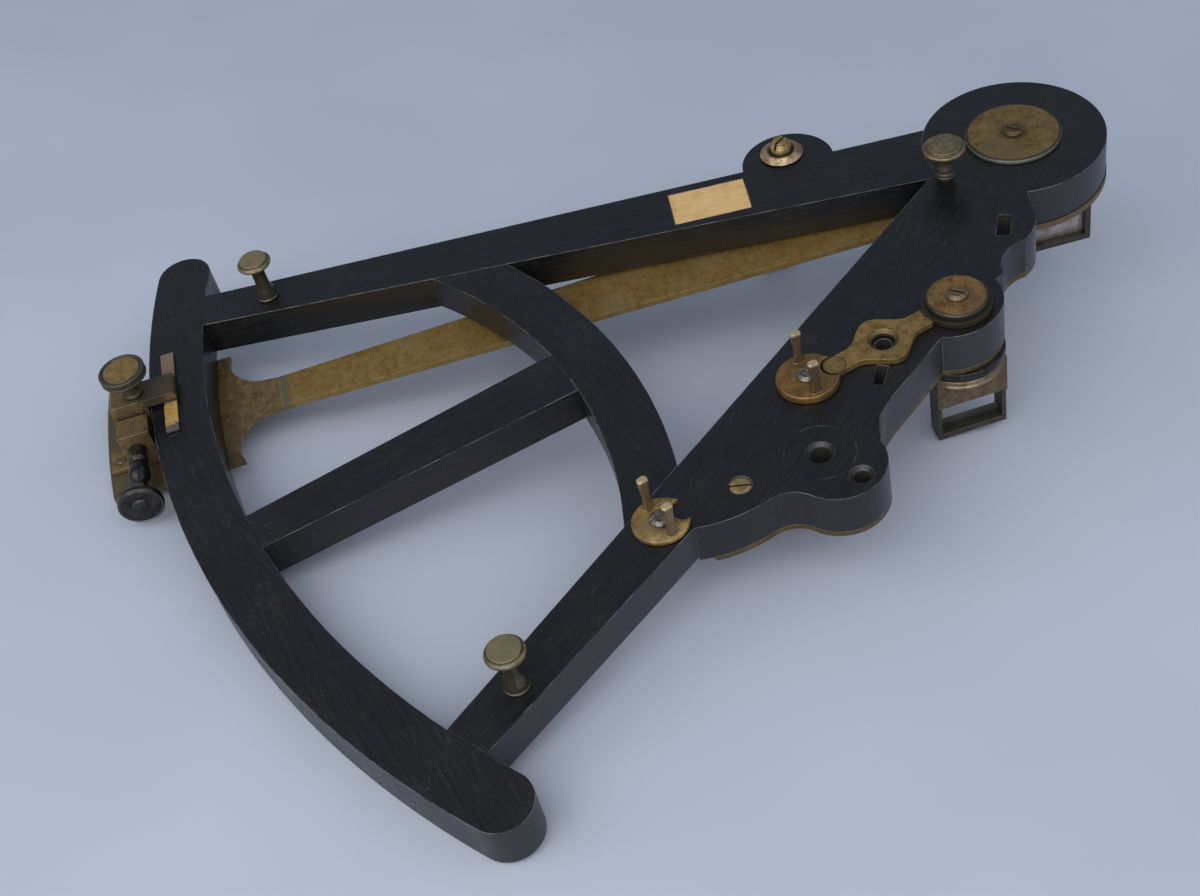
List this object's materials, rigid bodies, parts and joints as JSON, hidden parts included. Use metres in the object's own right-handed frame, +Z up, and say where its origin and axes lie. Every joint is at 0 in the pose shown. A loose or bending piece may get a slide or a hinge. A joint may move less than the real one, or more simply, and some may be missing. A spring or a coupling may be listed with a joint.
{
  "type": "octant",
  "caption": "Wooden-framed octant lying face down: swinging index arm with mirror, clamp and tangent screw, and a horizon mirror set by a lever and a notched disc.",
  "frame": {"origin": "centre of the bounding box on the table, with the octant lying face down on its sight vane, horizon mirror frame and index arm end", "axes": "+Z up from the table, +Y towards the apex, +X towards the horizon mirror's side"},
  "size_m": [0.2922, 0.3612, 0.083],
  "materials": {
    "ebony": "oiled near-black ebony with fine grain and rubbed edges",
    "brass": "aged lacquered brass",
    "old_brass": "olive, worn and tarnished brass",
    "dark_bronze": "dark patinated bronze",
    "steel": "dark turned steel",
    "copper": "rubbed copper-coloured spring strip",
    "ivory": "yellowed ivory, matt",
    "glass": "clear old plate glass",
    "silvering": "mottled old silvering"
  },
  "bodies": {
    "frame": {"limb": "ebony", "left_radius": "ebony", "right_radius": "ebony", "cross_brace": "ebony", "centre_strut": "ebony", "limb_scale": "ivory", "name_plate": "ivory", "lining_plate": "brass", "lining_screw": "brass", "index_bush": "brass", "foot_apex": "old_brass", "foot_left": "old_brass", "foot_right": "old_brass", "sight_vane": "brass", "vane_washer": "old_brass", "vane_nut": "old_brass", "mirror_wing_screw": "steel", "back_wing_screw": "steel"},
    "arm": {"index_arm": "brass", "index_end_plate": "brass", "vernier": "ivory", "index_axis": "steel", "axis_disc": "brass", "axis_screw": "brass", "index_mirror_foot": "brass", "index_mirror_tray": "dark_bronze", "index_mirror_glass": "silvering", "index_mirror_screws": "brass", "tangent_block": "old_brass", "tangent_block_screw": "old_brass"},
    "clamp": {"clamp_block": "old_brass", "clamp_spring": "copper"},
    "clamp_knob": {"clamp_screw": "old_brass"},
    "tangent_knob": {"tangent_screw": "steel"},
    "horizon": {"horizon_lever": "brass", "horizon_cap": "brass", "horizon_cap_screw": "brass", "horizon_axis": "steel", "horizon_seat": "dark_bronze", "horizon_ring": "brass", "horizon_frame": "dark_bronze", "horizon_shield": "brass", "horizon_mirror": "silvering", "horizon_glass": "glass"},
    "mirror_disc": {"mirror_wing": "brass"},
    "back_disc": {"back_wing": "brass"}
  },
  "joints": [
    {"name": "arm_swing", "type": "hinge", "parent": "frame", "child": "arm", "pos_m": [0.00311, 0.14391, 0.07187], "axis": [0.0554, -0.1755, 0.9829], "range_deg": [-7, 37]},
    {"name": "tangent_turn", "type": "hinge", "parent": "clamp", "child": "tangent_knob", "pos_m": [-0.08163, -0.16229, 0.01486], "axis": [0.9618, -0.2548, -0.0997], "range_deg": [-1815, 285]},
    {"name": "clamp_slide", "type": "slide", "parent": "arm", "child": "clamp", "axis": [0.9618, -0.2548, -0.0997], "range_m": [-0.004, 0.0006]},
    {"name": "clamp_turn", "type": "hinge", "parent": "clamp", "child": "clamp_knob", "pos_m": [-0.08031, -0.16019, 0.02228], "axis": [0.0554, -0.1755, 0.9829], "range_deg": [0, 360]},
    {"name": "mirror_disc_turn", "type": "hinge", "parent": "frame", "child": "mirror_disc", "pos_m": [0.05849, 0.02232, 0.04704], "axis": [0.0554, -0.1755, 0.9829], "range_deg": [-12, 12]},
    {"name": "horizon_turn", "type": "hinge", "parent": "frame", "child": "horizon", "pos_m": [0.06035, 0.07765, 0.05682], "axis": [0.0554, -0.1755, 0.9829], "range_deg": [-2.45, 2.45]},
    {"name": "back_disc_turn", "type": "hinge", "parent": "frame", "child": "back_disc", "pos_m": [0.08001, -0.04334, 0.03411], "axis": [0.0554, -0.1755, 0.9829], "continuous": true}
  ],
  "couplings": [
    {"joint": "tangent_turn", "follows": "clamp_slide", "rad_per_m": 7854},
    {"joint": "horizon_turn", "follows": "mirror_disc_turn", "ratio": -0.20043}
  ]
}
